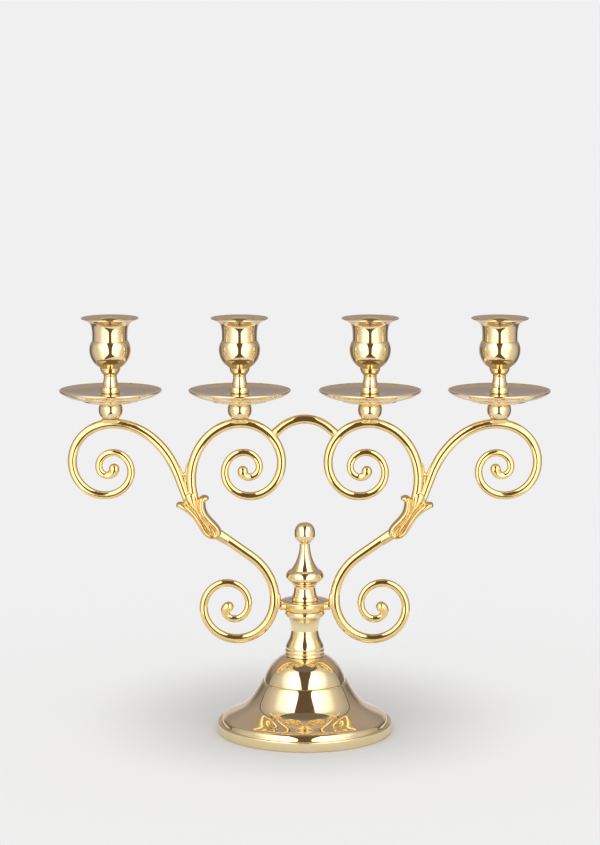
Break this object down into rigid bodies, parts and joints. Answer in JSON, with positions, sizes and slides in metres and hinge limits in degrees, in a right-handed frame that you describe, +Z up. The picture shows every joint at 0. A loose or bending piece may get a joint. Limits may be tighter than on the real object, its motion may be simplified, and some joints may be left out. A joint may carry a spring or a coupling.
{
  "type": "tabletop candelabra",
  "caption": "Polished brass tabletop candelabra: candle cups over drip pans on scrolled arms, joined by leafy calyxes to a turned stem with a finial, on a bell-shaped foot.",
  "frame": {"origin": "on the table, at the centre of the foot's underside", "axes": "+X along the row of lights, +Z up, the arms lie in the XZ plane"},
  "size_m": [0.3316, 0.1194, 0.285],
  "materials": {
    "turned_brass": "turned, polished and clear lacquered, pale gold",
    "cast_brass": "cast and hand polished, deeper yellow gold",
    "zinc_steel": "zinc plated threaded steel"
  },
  "bodies": {
    "root": {"base_skirt": "turned_brass", "base_dome": "turned_brass", "base_washer": "zinc_steel", "base_nut": "zinc_steel", "tie_rod": "zinc_steel", "stem_column": "turned_brass", "crossbar": "cast_brass", "cap_disc": "turned_brass", "finial": "turned_brass", "lower_scroll_left": "cast_brass", "lower_scroll_right": "cast_brass", "calyx_left": "cast_brass", "calyx_right": "cast_brass", "outer_scroll_left": "cast_brass", "outer_scroll_right": "cast_brass", "inner_scroll_left": "cast_brass", "inner_scroll_right": "cast_brass", "top_arch": "cast_brass", "light_stud_outer_left": "zinc_steel", "ball_knob_outer_left": "turned_brass", "light_stud_inner_left": "zinc_steel", "ball_knob_inner_left": "turned_brass", "light_stud_inner_right": "zinc_steel", "ball_knob_inner_right": "turned_brass", "light_stud_outer_right": "zinc_steel", "ball_knob_outer_right": "turned_brass"},
    "pan_outer_left": {"drip_pan_outer_left": "turned_brass"},
    "cup_outer_left": {"candle_cup_outer_left": "turned_brass"},
    "pan_inner_left": {"drip_pan_inner_left": "turned_brass"},
    "cup_inner_left": {"candle_cup_inner_left": "turned_brass"},
    "pan_inner_right": {"drip_pan_inner_right": "turned_brass"},
    "cup_inner_right": {"candle_cup_inner_right": "turned_brass"},
    "pan_outer_right": {"drip_pan_outer_right": "turned_brass"},
    "cup_outer_right": {"candle_cup_outer_right": "turned_brass"}
  },
  "joints": [
    {"name": "unscrew_turn_outer_left", "type": "hinge", "parent": "root", "child": "pan_outer_left", "pos_m": [-0.1312, 0, 0.2339], "axis": [0, 0, 1], "range_deg": [0, 9000]},
    {"name": "unscrew_lift_outer_left", "type": "slide", "parent": "pan_outer_left", "child": "cup_outer_left", "axis": [0, 0, 1], "range_m": [0, 0.0175]},
    {"name": "unscrew_turn_inner_left", "type": "hinge", "parent": "root", "child": "pan_inner_left", "pos_m": [-0.044, 0, 0.2339], "axis": [0, 0, 1], "range_deg": [0, 9000]},
    {"name": "unscrew_lift_inner_left", "type": "slide", "parent": "pan_inner_left", "child": "cup_inner_left", "axis": [0, 0, 1], "range_m": [0, 0.0175]},
    {"name": "unscrew_turn_inner_right", "type": "hinge", "parent": "root", "child": "pan_inner_right", "pos_m": [0.044, 0, 0.2339], "axis": [0, 0, 1], "range_deg": [0, 9000]},
    {"name": "unscrew_lift_inner_right", "type": "slide", "parent": "pan_inner_right", "child": "cup_inner_right", "axis": [0, 0, 1], "range_m": [0, 0.0175]},
    {"name": "unscrew_turn_outer_right", "type": "hinge", "parent": "root", "child": "pan_outer_right", "pos_m": [0.1312, 0, 0.2339], "axis": [0, 0, 1], "range_deg": [0, 9000]},
    {"name": "unscrew_lift_outer_right", "type": "slide", "parent": "pan_outer_right", "child": "cup_outer_right", "axis": [0, 0, 1], "range_m": [0, 0.0175]}
  ],
  "couplings": [
    {"joint": "unscrew_lift_outer_left", "follows": "unscrew_turn_outer_left", "m_per_rad": 0.00011141},
    {"joint": "unscrew_lift_inner_left", "follows": "unscrew_turn_inner_left", "m_per_rad": 0.00011141},
    {"joint": "unscrew_lift_inner_right", "follows": "unscrew_turn_inner_right", "m_per_rad": 0.00011141},
    {"joint": "unscrew_lift_outer_right", "follows": "unscrew_turn_outer_right", "m_per_rad": 0.00011141}
  ]
}
